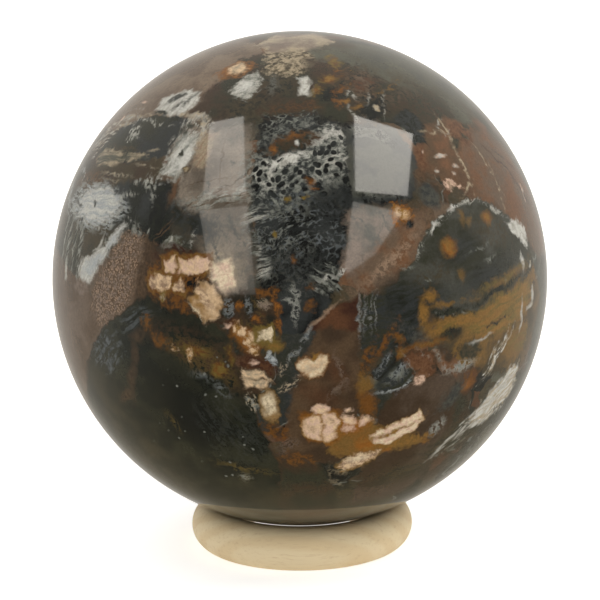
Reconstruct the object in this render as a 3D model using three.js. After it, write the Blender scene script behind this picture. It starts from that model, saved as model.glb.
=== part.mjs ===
// A polished stone sphere resting on a turned wooden ring.
// Millimetres, +Z up. The origin is on the surface that the ring stands on, under the middle of the sphere.
import * as THREE from "three";

// Driving dimensions.
const SPHERE_DIAMETER = 100;
const RING_OUTER_DIAMETER = 45;
const RING_BORE_DIAMETER = 28.2;
const RING_THICKNESS = 9; // of the round-edged stock, before its underside is sanded flat
const FOOT_TRIM = 0.2; // what the sanding takes off
const SEAT_GAP = 0.1; // clear between the stone and the wood

// How finely the round shapes are faceted.
const SPHERE_DETAIL = 15;
const RING_STEPS = 80;
const SECTION_STEPS = 22;

const SPHERE_RADIUS = SPHERE_DIAMETER / 2;

// The ring's section is an oval with its lowest part cut off flat.
const section = {
  middleRadius: (RING_OUTER_DIAMETER + RING_BORE_DIAMETER) / 4,
  halfWidth: (RING_OUTER_DIAMETER - RING_BORE_DIAMETER) / 4,
  halfHeight: RING_THICKNESS / 2,
};

// Points round the section as (radius, height), from the foot's inner edge over the bore side, the top
// and the outer side to the foot's outer edge. The foot itself is the last, straight side.
function sectionPoints() {
  const middleHeight = section.halfHeight - FOOT_TRIM;
  const footAngle = Math.acos(middleHeight / section.halfHeight);
  const points = [];
  for (let i = 0; i <= SECTION_STEPS; i++) {
    const angle = footAngle + (i / SECTION_STEPS) * 2 * (Math.PI - footAngle);
    points.push(
      new THREE.Vector2(
        section.middleRadius - section.halfWidth * Math.sin(angle),
        middleHeight - section.halfHeight * Math.cos(angle),
      ),
    );
  }
  points[0].y = 0;
  points[SECTION_STEPS].y = 0;
  return points;
}

// How high the sphere's middle is once the sphere, held off by the seat gap, comes down on the ring.
function seatedHeight(points) {
  const reach = SPHERE_RADIUS + SEAT_GAP;
  return Math.max(...points.map((p) => p.y + Math.sqrt(reach ** 2 - p.x ** 2)));
}

function woodenRing(points) {
  const closed = [...points, points[0].clone()].reverse();
  const geometry = new THREE.LatheGeometry(closed, RING_STEPS);
  geometry.rotateX(Math.PI / 2); // the lathe turns about Y
  const wood = new THREE.MeshStandardMaterial({
    color: 0xd3b88d,
    roughness: 0.6,
    metalness: 0,
  });
  const mesh = new THREE.Mesh(geometry, wood);
  mesh.name = "wooden_ring";
  return mesh;
}

function stoneSphere(height) {
  const geometry = new THREE.IcosahedronGeometry(SPHERE_RADIUS, SPHERE_DETAIL);
  const stone = new THREE.MeshStandardMaterial({
    color: 0x4c453c,
    roughness: 0.08,
    metalness: 0,
  });
  const mesh = new THREE.Mesh(geometry, stone);
  mesh.name = "stone_sphere";
  mesh.position.z = height;
  return mesh;
}

const ringSection = sectionPoints();
const ornament = new THREE.Group();
ornament.add(woodenRing(ringSection), stoneSphere(seatedHeight(ringSection)));

export default ornament;
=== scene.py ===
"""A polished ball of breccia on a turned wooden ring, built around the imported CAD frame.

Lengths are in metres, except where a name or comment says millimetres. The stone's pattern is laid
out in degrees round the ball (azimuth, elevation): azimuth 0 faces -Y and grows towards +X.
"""
import math

import bmesh
import bpy
import numpy as np
from mathutils import Matrix, Vector


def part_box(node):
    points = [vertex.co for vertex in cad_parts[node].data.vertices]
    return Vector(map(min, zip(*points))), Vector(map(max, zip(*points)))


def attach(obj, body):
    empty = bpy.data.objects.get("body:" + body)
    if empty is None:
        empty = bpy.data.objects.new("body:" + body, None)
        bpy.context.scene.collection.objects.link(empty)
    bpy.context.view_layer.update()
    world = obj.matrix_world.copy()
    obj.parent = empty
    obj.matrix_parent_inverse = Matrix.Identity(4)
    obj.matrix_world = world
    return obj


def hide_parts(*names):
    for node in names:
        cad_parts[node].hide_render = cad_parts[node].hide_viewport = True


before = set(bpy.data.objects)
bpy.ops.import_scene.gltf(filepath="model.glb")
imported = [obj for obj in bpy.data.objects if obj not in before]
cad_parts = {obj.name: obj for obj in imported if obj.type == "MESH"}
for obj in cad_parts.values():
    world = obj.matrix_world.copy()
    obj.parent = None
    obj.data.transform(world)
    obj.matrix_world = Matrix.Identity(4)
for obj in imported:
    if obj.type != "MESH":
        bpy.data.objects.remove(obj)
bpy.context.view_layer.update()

MM = 0.001

# The ball. The margin keeps rounding errors from taking it past the CAD's box.
BALL_LOW, BALL_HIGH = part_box("stone_sphere")
BALL_CENTRE = (BALL_LOW + BALL_HIGH) / 2
BALL_ROUNDING_MARGIN = 0.001 * MM
BALL_RADIUS = (BALL_HIGH.x - BALL_LOW.x) / 2 - BALL_ROUNDING_MARGIN
BALL_RADIUS_MM = BALL_RADIUS / MM
BALL_SUBDIVISIONS = 7
SECTOR_SUBDIVISIONS = 2

# How far the noise in the stone's coordinates can move the edge of a patch, in millimetres.
STONE_BEND_MM = 3.4

# The ring. Its section is an oval with a flat sanded on its lowest part.
RING_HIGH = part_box("wooden_ring")[1]
RING_BORE_RADIUS = min(Vector(v.co.xy).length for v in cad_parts["wooden_ring"].data.vertices)
RING_OUTER_RADIUS = RING_HIGH.x
RING_FOOT_TRIM = 0.2 * MM
RING_STEPS = 256
RING_SECTION_STEPS = 64

# The camera stands ten ball widths away and looks slightly below the ball's middle.
CAMERA_DISTANCE = 20 * BALL_RADIUS
CAMERA_ELEVATION = math.radians(14.4)
CAMERA_EXTRA_PITCH = math.radians(0.25)
CAMERA_ROLL = math.radians(0.54)
CAMERA_LENS_MM = 296.7

# The floor. It glows a little, and more so to the camera, which sees it as plain white.
FLOOR_HALF_WIDTH = 6.0
FLOOR_GLOW = 0.25
FLOOR_EXTRA_GLOW_TO_CAMERA = 0.35

# The sky's strength on the camera's side and behind the ornament, and what part of that is left at its foot.
SKY_IN_FRONT = 0.12
SKY_BEHIND = 0.67
SKY_PART_AT_FOOT = 0.52

# How far the softboxes hang from the ball's surface, and how finely they are curved.
SOFTBOX_DISTANCE = 1.2
SOFTBOX_STEPS = 12


# ---------------------------------------------------------------- shader building


class Graph:
    """Adds shader nodes to one node tree. Most of its methods return the new node's output."""

    def __init__(self, tree):
        self.tree = tree
        tree.nodes.clear()

    def node(self, kind, **settings):
        made = self.tree.nodes.new("ShaderNode" + kind)
        for name, value in settings.items():
            setattr(made, name, value)
        return made

    def feed(self, socket, value):
        """Gives an input a value, or a link from another node's output."""
        if isinstance(value, bpy.types.NodeSocket):
            self.tree.links.new(value, socket)
        else:
            socket.default_value = value

    def fill(self, node, *values):
        """Feeds a node's inputs in their own order."""
        for socket, value in zip(node.inputs, values):
            self.feed(socket, value)
        return node

    def fill_named(self, node, values):
        """Feeds a node's inputs by their names."""
        for name, value in values.items():
            self.feed(node.inputs[name], value)
        return node

    def show(self, shader, kind="OutputMaterial"):
        """Ends the tree with an output node that shows the shader."""
        self.fill(self.node(kind), shader.outputs[0])

    def math(self, operation, *values):
        return self.fill(self.node("Math", operation=operation), *values).outputs[0]

    def vector(self, operation, *values):
        made = self.fill(self.node("VectorMath", operation=operation), *values)
        gives_number = operation in ("DOT_PRODUCT", "LENGTH")
        return made.outputs["Value" if gives_number else "Vector"]

    def scaled(self, where, factor):
        made = self.node("VectorMath", operation="SCALE")
        return self.fill_named(made, {"Vector": where, "Scale": factor}).outputs["Vector"]

    def turned(self, where, axes):
        """Coordinates along three axes, which are the rows of a matrix."""
        made = self.node("VectorRotate", rotation_type="EULER_XYZ")
        return self.fill_named(made, {"Vector": where, "Rotation": axes.to_euler()}).outputs["Vector"]

    def mapped(self, where, rotation=(0, 0, 0), scale=(1, 1, 1)):
        made = self.node("Mapping", vector_type="TEXTURE")
        return self.fill_named(made, {"Vector": where, "Rotation": rotation, "Scale": scale}).outputs[0]

    def noise(self, where, scale, detail=2.0, roughness=0.5, output="Fac"):
        values = {"Vector": where, "Scale": scale, "Detail": detail, "Roughness": roughness}
        return self.fill_named(self.node("TexNoise"), values).outputs[output]

    def cells(self, where, scale, feature="F1", output="Distance"):
        made = self.node("TexVoronoi", feature=feature)
        return self.fill_named(made, {"Vector": where, "Scale": scale}).outputs[output]

    def split(self, colour):
        """The red, green and blue of a colour."""
        return self.fill(self.node("SeparateColor"), colour).outputs

    def bent(self, where, scale, amount):
        """Coordinates shifted by noise, by up to about half the amount each way."""
        parts = self.split(self.noise(where, scale, output="Color"))
        shift = self.fill(self.node("CombineXYZ"), *parts)
        centred = self.vector("SUBTRACT", shift.outputs[0], (0.5, 0.5, 0.5))
        return self.vector("ADD", where, self.scaled(centred, amount))

    def step(self, value, start, end, low=0.0, high=1.0):
        """A smooth step from low at start to high at end. It runs downwards where end is below start."""
        made = self.node("MapRange", interpolation_type="SMOOTHSTEP")
        return self.fill(made, value, start, end, low, high).outputs[0]

    def mix(self, factor, first, second, blend="MIX"):
        made = self.node("Mix", data_type="RGBA", blend_type=blend)
        for socket, value in ((made.inputs[0], factor), (made.inputs[6], first), (made.inputs[7], second)):
            self.feed(socket, value)
        return made.outputs[2]

    def grey(self, value):
        return self.fill(self.node("CombineColor"), value, value, value).outputs[0]

    def bands(self, value, colours):
        """Picks one of the colours, in equal steps, by a value from 0 to 1."""
        made = self.node("ValToRGB")
        ramp = made.color_ramp
        ramp.interpolation = "CONSTANT"
        for _ in range(len(colours) - len(ramp.elements)):
            ramp.elements.new(0.5)
        for i, colour in enumerate(colours):
            ramp.elements[i].position = i / len(colours)
            ramp.elements[i].color = colour
        return self.fill(made, value).outputs[0]


def srgb(red, green, blue):
    """A colour given as it looks on a screen, 0 to 255, as the linear colour that a shader takes."""
    def linear(channel):
        part = channel / 255
        return part / 12.92 if part <= 0.04045 else ((part + 0.055) / 1.055) ** 2.4
    return (linear(red), linear(green), linear(blue), 1.0)


WHITE = srgb(255, 255, 255)
WARM_WHITE = srgb(255, 250, 241)


def new_material(name):
    material = bpy.data.materials.new(name)
    material.use_nodes = True
    return material, Graph(material.node_tree)


def link(name, data):
    made = bpy.data.objects.new(name, data)
    bpy.context.scene.collection.objects.link(made)
    return made


# ---------------------------------------------------------------- the stone

STONE_COLOURS = {
    "soot": srgb(20, 22, 21),
    "black": srgb(32, 35, 29),
    "moss": srgb(48, 49, 38),
    "slate": srgb(48, 51, 51),
    "smoke": srgb(70, 71, 65),
    "lichen": srgb(84, 84, 72),
    "olive": srgb(68, 60, 44),
    "umber": srgb(62, 49, 37),
    "wine": srgb(58, 37, 28),
    "brown": srgb(84, 67, 50),
    "mauve": srgb(80, 67, 56),
    "taupe": srgb(100, 84, 70),
    "fawn": srgb(122, 106, 90),
    "terracotta": srgb(108, 77, 54),
    "russet": srgb(88, 59, 40),
    "rust": srgb(106, 70, 33),
    "orange": srgb(136, 87, 36),
    "gold": srgb(132, 98, 48),
    "ochre": srgb(114, 87, 46),
    "brass": srgb(108, 91, 46),
    "sand": srgb(146, 122, 102),
    "rose": srgb(118, 104, 94),
    "dust": srgb(92, 84, 75),
    "ash": srgb(124, 114, 103),
    "beige": srgb(164, 150, 126),
    "cream": srgb(214, 186, 152),
    "ivory": srgb(220, 204, 174),
    "pink": srgb(206, 176, 156),
    "grey": srgb(122, 125, 119),
    "white": srgb(172, 171, 164),
    "ice": srgb(166, 172, 174),
    "steel": srgb(96, 102, 106),
    "frost": srgb(200, 200, 195),
}


def direction(azimuth, elevation):
    """The unit vector from the ball's middle to a place given in degrees."""
    turn, rise = math.radians(azimuth), math.radians(elevation)
    return Vector((math.sin(turn) * math.cos(rise), -math.cos(turn) * math.cos(rise), math.sin(rise)))


class Oval:
    """A long oval on the ball, from start to end, width millimetres wide at its middle."""

    # How deep it reaches into the ball: so many millimetres, and so many times the sag of its chord.
    DEPTH_MM = 4
    DEPTH_IN_SAGS = 3

    def __init__(self, start, end, width):
        self.start, self.end = direction(*start), direction(*end)
        self.half_width = width / 2
        self.middle = (self.start + self.end).normalized()
        self.radius = self.middle.angle(self.end) + self.half_width / BALL_RADIUS_MM

    def reach(self, graph, where):
        """About how many millimetres a point is outside the oval. It is negative inside."""
        outward = self.middle
        across = outward.cross(self.end - self.start).normalized()
        along = across.cross(outward)
        half_length = (self.end - self.start).length / 2 * BALL_RADIUS_MM
        sag = BALL_RADIUS_MM - math.sqrt(max(BALL_RADIUS_MM**2 - half_length**2, 0))
        depth = self.DEPTH_MM + self.DEPTH_IN_SAGS * sag
        offset = graph.vector("SUBTRACT", where, outward * BALL_RADIUS_MM)
        turned = graph.turned(offset, Matrix((along, across, outward)))
        local = graph.vector("DIVIDE", turned, (half_length, self.half_width, depth))
        rim = graph.vector("LENGTH", local)
        return graph.math("MULTIPLY_ADD", rim, self.half_width, -self.half_width)


def dot(place, size, height=None):
    """A round spot, or an oval one if its height is given too, in millimetres."""
    azimuth, elevation = place
    half_turn = math.degrees(size / 2 / BALL_RADIUS_MM) / math.cos(math.radians(elevation))
    return Oval((azimuth - half_turn, elevation), (azimuth + half_turn, elevation), height or size)


def fan(start, end, shift, count, width):
    """Thin ovals side by side, each one shift (azimuth, elevation) on from the last."""
    def moved(place, times):
        return place[0] + times * shift[0], place[1] + times * shift[1]
    return [Oval(moved(start, i), moved(end, i), width) for i in range(count)]


class Chip:
    """A fragment with straight sides between corners, given in order round it: what lies inside them all."""

    def __init__(self, *corners):
        self.corners = [direction(*corner) for corner in corners]
        self.middle = sum(self.corners, Vector()).normalized()
        self.radius = max(self.middle.angle(corner) for corner in self.corners)

    def reach(self, graph, where):
        """How many millimetres a point is outside the nearest side. It is negative inside."""
        distance = None
        for corner, following in zip(self.corners, self.corners[1:] + self.corners[:1]):
            outward = corner.cross(following).normalized()
            if outward.dot(self.middle) > 0:
                outward.negate()
            beyond = graph.vector("DOT_PRODUCT", where, outward)
            distance = beyond if distance is None else graph.math("MAXIMUM", distance, beyond)
        return distance


class Layer:
    """One step in painting the stone: a node group that takes the shared fields and the colour so far.

    In a layer, each node is made after the nodes that feed it, and no texture reads coordinates that
    the layer has moved by vector maths. Cycles then holds few results at a time, and has room for all.
    """

    FIELDS = {
        "bent": "NodeSocketVector",
        "rough": "NodeSocketVector",
        "torn": "NodeSocketVector",
        "cloud": "NodeSocketFloat",
        "grain": "NodeSocketFloat",
    }

    def __init__(self, name):
        self.tree = bpy.data.node_groups.new(name, "ShaderNodeTree")
        self.graph = Graph(self.tree)
        for field, kind in (*self.FIELDS.items(), ("colour", "NodeSocketColor")):
            self.tree.interface.new_socket(field, in_out="INPUT", socket_type=kind)
        self.tree.interface.new_socket("colour", in_out="OUTPUT", socket_type="NodeSocketColor")
        entry = self.tree.nodes.new("NodeGroupInput").outputs
        self.bent, self.rough, self.torn = entry["bent"], entry["rough"], entry["torn"]
        self.cloud, self.grain = entry["cloud"], entry["grain"]
        self.colour = entry["colour"]
        self.patches = []
        self.margin = 0.0

    def close(self):
        self.graph.feed(self.tree.nodes.new("NodeGroupOutput").inputs["colour"], self.colour)

    def reaches(self, sector, sector_radius):
        """Whether the layer shows in a sector of the ball. One without patches shows everywhere."""
        limit = sector_radius + self.margin / BALL_RADIUS_MM
        near = [patch for patch in self.patches if patch.middle.angle(sector) < patch.radius + limit]
        return bool(near) or not self.patches

    def tone(self, colours, field):
        """One named colour, or two that a field mixes."""
        picked = [STONE_COLOURS[name] for name in colours.split("/")]
        if len(picked) == 1:
            return picked[0]
        return self.graph.mix(self.graph.step(field(self), 0.38, 0.62), *picked)


# A field says for a layer how much of something there is from place to place, mostly from 0 to 1.


def cloud(layer):
    return layer.cloud


def grain(layer):
    return layer.grain


def speckle(layer):
    return layer.graph.step(layer.grain, 0.42, 0.55)


def fibres(start, end, fineness=1.3, stretch=7):
    """Noise drawn out along the line from start to end."""
    first, last = direction(*start), direction(*end)
    outward = (first + last).normalized()
    across = outward.cross(last - first).normalized()
    turn = Matrix((across.cross(outward), across, outward)).transposed().to_euler()

    def field(layer):
        local = layer.graph.mapped(layer.bent, rotation=turn, scale=(stretch, 1, 2))
        return layer.graph.noise(local, fineness, detail=3, roughness=0.6)
    return field


def wisps(start, end, fineness=1.5, stretch=6):
    """Threads along the line from start to end, 1 in a thread and 0 beside it."""
    threads = fibres(start, end, fineness, stretch)
    return lambda layer: layer.graph.step(threads(layer), 0.42, 0.56)


def holes(scale, start, end):
    """0 in round holes and 1 between them, or the other way about if end is below start."""
    return lambda layer: layer.graph.step(layer.graph.cells(layer.bent, scale), start, end)


def net(scale):
    """The walls between cells, broken here and there."""
    def field(layer):
        graph = layer.graph
        walls = graph.step(graph.cells(layer.bent, scale, feature="DISTANCE_TO_EDGE"), 0.2, 0.05)
        return graph.math("MULTIPLY", walls, graph.step(layer.grain, 0.36, 0.5))
    return field


def both(first, second):
    """High only where two other fields are."""
    return lambda layer: layer.graph.math("MULTIPLY", first(layer), second(layer))


# Fields that more than one part of the pattern uses. The spots are the dark ones in the column's pale net.
SPOTS = holes(0.66, 0.34, 0.5)
LEFT_THREADS = wisps((-70, 8), (-66, 20), fineness=1.4, stretch=4)
PALE_GRAIN = fibres((-36, 38), (-33, 52), fineness=1.3, stretch=3)
BAND_GRAIN = fibres((30, 4), (60, 8), fineness=0.9, stretch=5)


class Stone:
    """The layers of the ball's pattern, from the lowest up."""

    # Half the width of the soft edge round a rim, in millimetres.
    RIM_EDGE_MM = 0.4

    def __init__(self):
        self.layers = []

    def add(self, layer):
        layer.close()
        self.layers.append(layer)

    def lay(self, colours, *patches, edge=0.35, ragged=1, field=grain, cover=None, rim=None, strength=1):
        """Adds a layer of one colour, or two mixed by a field, over the patches.

        The edge and the raggedness are in millimetres. A cover thins the colour where it is low.
        A rim is a second colour that shows for a number of millimetres round each patch.
        """
        layer = Layer("stone_layer")
        graph = layer.graph
        layer.patches = patches
        layer.margin = STONE_BEND_MM + edge + ragged
        reach = patches[0].reach(graph, layer.rough)
        for patch in patches[1:]:
            reach = graph.math("MINIMUM", reach, patch.reach(graph, layer.rough))
        reach = graph.math("MULTIPLY_ADD", layer.grain, ragged * 2, graph.math("SUBTRACT", reach, ragged))
        if rim:
            rim_colour, rim_width = rim
            layer.margin += rim_width
            shown = graph.step(reach, rim_width + self.RIM_EDGE_MM, rim_width - self.RIM_EDGE_MM)
            layer.colour = graph.mix(shown, layer.colour, layer.tone(rim_colour, field))
        shown = graph.step(reach, edge, -edge, high=strength)
        if cover:
            shown = graph.math("MULTIPLY", shown, cover(layer))
        layer.colour = graph.mix(shown, layer.colour, layer.tone(colours, field))
        self.add(layer)


def loose_breccia(stone):
    """What shows wherever nothing else is laid: fragments large and small, and seams between them."""
    layer = Layer("loose_breccia")
    graph = layer.graph
    large_scale, small_scale = 0.05, 0.14

    def fragments(scale, names):
        pick = graph.split(graph.cells(layer.torn, scale, output="Color"))[0]
        return graph.bands(pick, [STONE_COLOURS[name] for name in names])

    large = fragments(large_scale, ["black", "umber", "moss", "olive", "slate", "brown", "black", "taupe"])
    small = fragments(small_scale, ["moss", "terracotta", "soot", "olive", "umber", "lichen", "russet"])
    crushed = graph.step(graph.noise(layer.torn, scale=0.05, detail=2), 0.48, 0.53)
    mixed = graph.mix(crushed, large, small)
    clouded = graph.mix(graph.step(layer.cloud, 0.38, 0.66, high=0.7), mixed, STONE_COLOURS["moss"])
    mottled = graph.mix(graph.step(layer.grain, 0.45, 0.75, high=0.5), clouded, STONE_COLOURS["smoke"])
    seam = graph.step(graph.cells(layer.torn, large_scale, feature="DISTANCE_TO_EDGE"), 0.02, 0.0)
    seam_cover = graph.math("MULTIPLY", seam, graph.step(layer.cloud, 0.46, 0.54, high=0.7))
    layer.colour = graph.mix(seam_cover, mottled, STONE_COLOURS["grey"])
    stone.add(layer)


def on_hidden_side(layer):
    """Limits a layer to the far side of the ball, and gives a field that fades it out at the border."""
    fade_mm = 4
    region = Chip((95, 0), (180, 85), (265, 0), (180, -85))
    layer.patches = [region]
    layer.margin = STONE_BEND_MM
    return layer.graph.step(region.reach(layer.graph, layer.rough), 0, -fade_mm)


def loose_chips(stone):
    """Belts of rust in the loose breccia, with cream chips in them."""
    layer = Layer("loose_chips")
    graph = layer.graph
    chip_scale = 0.22
    hidden = on_hidden_side(layer)
    belt = graph.step(graph.noise(layer.torn, scale=0.035, detail=2), 0.57, 0.63, high=hidden)
    rust_cover = graph.math("MULTIPLY", belt, graph.step(layer.grain, 0.4, 0.5))
    rust = graph.mix(graph.step(layer.cloud, 0.42, 0.58), STONE_COLOURS["rust"], STONE_COLOURS["umber"])
    layer.colour = graph.mix(rust_cover, layer.colour, rust)
    inside = graph.step(graph.cells(layer.torn, chip_scale, feature="DISTANCE_TO_EDGE"), 0.08, 0.16)
    chosen = graph.step(graph.split(graph.cells(layer.torn, chip_scale, output="Color"))[1], 0.62, 0.64)
    chip_cover = graph.math("MULTIPLY", belt, graph.math("MULTIPLY", inside, chosen))
    cream = graph.mix(graph.step(layer.grain, 0.4, 0.6), STONE_COLOURS["cream"], STONE_COLOURS["sand"])
    layer.colour = graph.mix(chip_cover, layer.colour, cream)
    stone.add(layer)


def loose_plumes(stone):
    """Pale feathery plumes in the loose breccia."""
    layer = Layer("loose_plumes")
    graph = layer.graph
    hidden = on_hidden_side(layer)
    place = graph.step(graph.noise(layer.torn, scale=0.06, detail=1), 0.6, 0.68, high=hidden)
    threads = graph.step(fibres((120, -20), (200, 30), fineness=1.1, stretch=4)(layer), 0.44, 0.56)
    plume_cover = graph.math("MULTIPLY", place, threads)
    layer.colour = graph.mix(plume_cover, layer.colour, STONE_COLOURS["grey"])
    stone.add(layer)


def back(lay):
    """Large fragments like those in front, from azimuth 105 round to 255."""
    across = wisps((164, 30), (192, 38), fineness=1, stretch=3)
    level = fibres((120, -8), (160, -6), fineness=0.9, stretch=5)
    falling = fibres((208, 36), (232, 20), fineness=1.2, stretch=4)
    lay("terracotta/brown", Chip((110, 50), (150, 50), (160, 16), (130, 4), (104, 20)), edge=0.8,
        ragged=1.6, field=cloud)
    lay("taupe/brown", Chip((204, 62), (250, 56), (256, 22), (226, 14), (206, 26)), edge=0.8, ragged=1.6,
        field=cloud)
    lay("soot/slate", Chip((158, 60), (198, 54), (200, 24), (184, 4), (162, 14)), ragged=2, field=cloud)
    lay("grey/slate", Oval((164, 22), (192, 44), 18), cover=SPOTS, edge=2.5, ragged=3)
    lay("white/grey", Oval((168, 32), (188, 42), 6), cover=both(SPOTS, across), edge=1.5, ragged=2.5)
    lay("black/moss", Chip((192, 8), (232, 14), (250, -14), (230, -46), (200, -42), (184, -12)),
        rim=("smoke", 0.4), edge=0.6, ragged=1.4, field=cloud)
    lay("olive/ochre", Chip((114, -2), (156, 4), (176, -12), (152, -34), (118, -26)), edge=0.8, ragged=2,
        field=cloud)
    lay("ochre/gold", Oval((122, -8), (160, -5), 7), Oval((126, -17), (156, -15), 3), field=level, edge=1,
        ragged=1.8)
    lay("white/grey", Oval((208, 36), (232, 22), 8), Oval((140, 62), (160, 70), 5), field=falling, edge=1.2,
        ragged=2.6)
    lay("rust/umber", Oval((150, 10), (186, -6), 7), Oval((184, -8), (196, -26), 5), edge=0.9, ragged=2)
    lay("cream/sand", Chip((152, 12), (156, 12), (156, 6), (151, 7)),
        Chip((159, 9), (165, 9), (164, 4), (160, 3)), Chip((169, 4), (174, 4), (175, -2), (170, -1)),
        Chip((186, -10), (190, -9), (191, -15), (187, -16)), rim=("ochre", 0.6), ragged=0.9)
    lay("russet/terracotta", Oval((126, 34), (134, 20), 6), Oval((212, -52), (240, -56), 8), edge=1,
        ragged=2)


def left_ground(lay):
    """The ground colours of the side from azimuth -90 to about -35."""
    lay("fawn/taupe", Chip((-100, 38), (-110, 72), (-70, 80), (-36, 76), (-42, 50), (-76, 40)), field=cloud)
    lay("wine/umber", Chip((-44, 50), (-36, 50), (-35, 63), (-44, 63)), edge=1, ragged=1.6, field=cloud)
    lay("olive/umber", Chip((-90, 38), (-44, 42), (-38, 32), (-46, 26), (-84, 26)), edge=0.8, field=cloud)
    lay("olive/moss", Chip((-100, 32), (-60, 29), (-50, 23), (-53, 12), (-64, 6), (-100, 8)), field=cloud)
    lay("lichen/olive", Oval((-72, 8), (-66, 20), 7), cover=LEFT_THREADS, edge=1.5, ragged=1.8)
    lay("slate/black", Chip((-57, 31), (-36, 34), (-32, 20), (-38, 17), (-47, 21), (-58, 22)), edge=0.8,
        field=cloud)
    lay("soot/black", Chip((-41, 34), (-35, 34), (-33, 19), (-41, 19)), ragged=1, edge=1.2)
    lay("brown/umber", Chip((-41, 22), (-36, 20), (-35, 8), (-42, 6), (-43, 14)), edge=0.8, ragged=1.4)
    lay("taupe/brown",
        Chip((-100, 12), (-62, 8), (-50, 0), (-58, -11), (-66, -22), (-78, -36), (-110, -30)), field=cloud)


def outlined_fragment(lay):
    """The dark fragment with a pale outline, high on the left."""
    level = wisps((-72, 36), (-50, 40), fineness=1.3, stretch=5)
    lay("slate/moss",
        Chip((-76, 41), (-66, 47), (-46, 51), (-39, 50), (-40, 42), (-48, 38), (-62, 35), (-76, 34)),
        ragged=0.8, field=cloud)
    lay("grey/beige", Oval((-78, 44), (-64, 48.5), 1.2), Oval((-66, 48.5), (-52, 50.6), 1.1),
        Oval((-76, 42), (-68, 45.5), 0.7), Oval((-53, 51.5), (-40, 51.5), 1.4), cover=speckle, ragged=0.7)
    lay("white/grey", Oval((-66, 44.5), (-60, 42.6), 3.2), Oval((-69, 46.4), (-56, 47.6), 0.7),
        Oval((-72, 44.5), (-66, 45), 0.8), cover=wisps((-66, 46), (-62, 42), fineness=1.6, stretch=2),
        edge=0.5, ragged=1.4)
    lay("white/beige", *fan((-80, 45), (-86, 33), shift=(2.6, 0.4), count=4, width=1.2),
        Oval((-80, 41), (-73, 43), 1.6), cover=level, edge=0.6, ragged=1.2)
    lay("pink", dot((-79, 44.5), 1.2), dot((-74, 51), 1.4, 0.6), ragged=0.5)
    lay("beige/lichen", Oval((-74, 34), (-60, 37), 4.2), Oval((-64, 36.6), (-51, 38.6), 1.4),
        field=fibres((-72, 36), (-50, 40), fineness=1.1), edge=0.6, ragged=1.2)
    lay("olive", Oval((-70, 38.4), (-58, 40), 1), Oval((-62, 34), (-54, 35.6), 1.2), edge=0.5, ragged=1)
    lay("grey/beige", Oval((-66, 31.6), (-53, 33), 0.8), Oval((-52, 36.4), (-44.5, 36.8), 0.6),
        Oval((-63, 30.6), (-57, 31.4), 0.5), Oval((-50, 40.4), (-46, 41.6), 0.6), cover=speckle, ragged=0.7)
    lay("grey/white", Oval((-54.5, 27.6), (-48, 30), 1.3), Oval((-45, 35), (-42.5, 32), 2.4),
        dot((-48, 33), 1.3), Oval((-41.6, 34), (-41, 29), 0.9), dot((-54.5, 22.6), 1.6, 1.2),
        cover=wisps((-46, 36), (-42, 30), fineness=1.6, stretch=2), edge=0.5, ragged=1.3)
    lay("white/grey", *fan((-43.8, 23.4), (-43, 18.6), shift=(1.3, 0.3), count=2, width=0.9),
        dot((-39.4, 22.5), 0.7, 1.4), cover=speckle, ragged=0.7)
    lay("rust/olive", Oval((-78, 28), (-66, 29.6), 3.2), edge=1.6, ragged=1.6, strength=0.8)


def blue_white_patch(lay):
    """The blue-white patch near the left edge."""
    lay("grey/ice", Chip((-80, 20), (-75, 27), (-64, 30), (-52, 29), (-47.5, 25.4), (-53, 20.4), (-64, 18)),
        cover=wisps((-76, 22), (-52, 25), fineness=1.4, stretch=3), edge=1.2, ragged=2)
    lay("ice/frost", Oval((-72, 22.8), (-52.6, 25.6), 7.2), edge=1.4, ragged=2.2,
        field=fibres((-74, 22), (-52, 26), fineness=1.4))
    lay("ice/grey", Oval((-88, 27), (-79, 20), 2.6), Oval((-84, 30), (-77, 28.6), 1), cover=LEFT_THREADS,
        ragged=1.2)
    lay("slate/smoke", dot((-62.4, 25.2), 1.2), Oval((-74, 23.6), (-69, 23), 0.6), dot((-66, 19.6), 1, 0.7),
        ragged=0.8)
    lay("grey/smoke", Oval((-53, 18.4), (-47.5, 18.6), 2.2), Oval((-48, 19), (-46.6, 22.6), 1.2), edge=0.5,
        ragged=0.9)


def climbing_plume(lay):
    """The plume that climbs to the right below that patch, and the streaks beside it."""
    lay("grey/white", *fan((-75, 19), (-73, 8), shift=(3.4, 0.6), count=4, width=1), cover=LEFT_THREADS,
        edge=0.5, ragged=1.2)
    lay("frost/white", Oval((-47.4, 22), (-52, 16), 2), Oval((-51.4, 16.6), (-57, 11.4), 3.4),
        Oval((-55, 12.6), (-61, 8), 5), edge=0.8, ragged=1.6,
        field=fibres((-61, 8), (-47, 22), fineness=1.4, stretch=4))
    lay("ice", Oval((-48.4, 20.4), (-51.6, 16.4), 1), Oval((-53, 14.4), (-59, 9.4), 2.4), edge=0.8,
        ragged=1.4)
    lay("rose/taupe", dot((-60.4, 5.6), 4.5, 3), edge=0.9, ragged=1.4)
    lay("white", Oval((-70, 10), (-69, 6), 0.9), Oval((-54.5, 19), (-56, 15), 0.5), ragged=0.5)


def speckled_sand(lay):
    """The speckled sand on the left."""
    lay("brown/taupe", Chip((-50, 20), (-40, 21.5), (-40, 12), (-41, 2), (-50, -5), (-58, 2), (-54, 9)),
        edge=0.8, ragged=1.2)
    lay("sand/rose", Chip((-49, 20), (-41, 21.5), (-41, 12), (-43, 3), (-50, -3), (-56, 3), (-53, 9)),
        cover=holes(2.3, 0.58, 0.42), edge=1.4, ragged=2)


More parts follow.
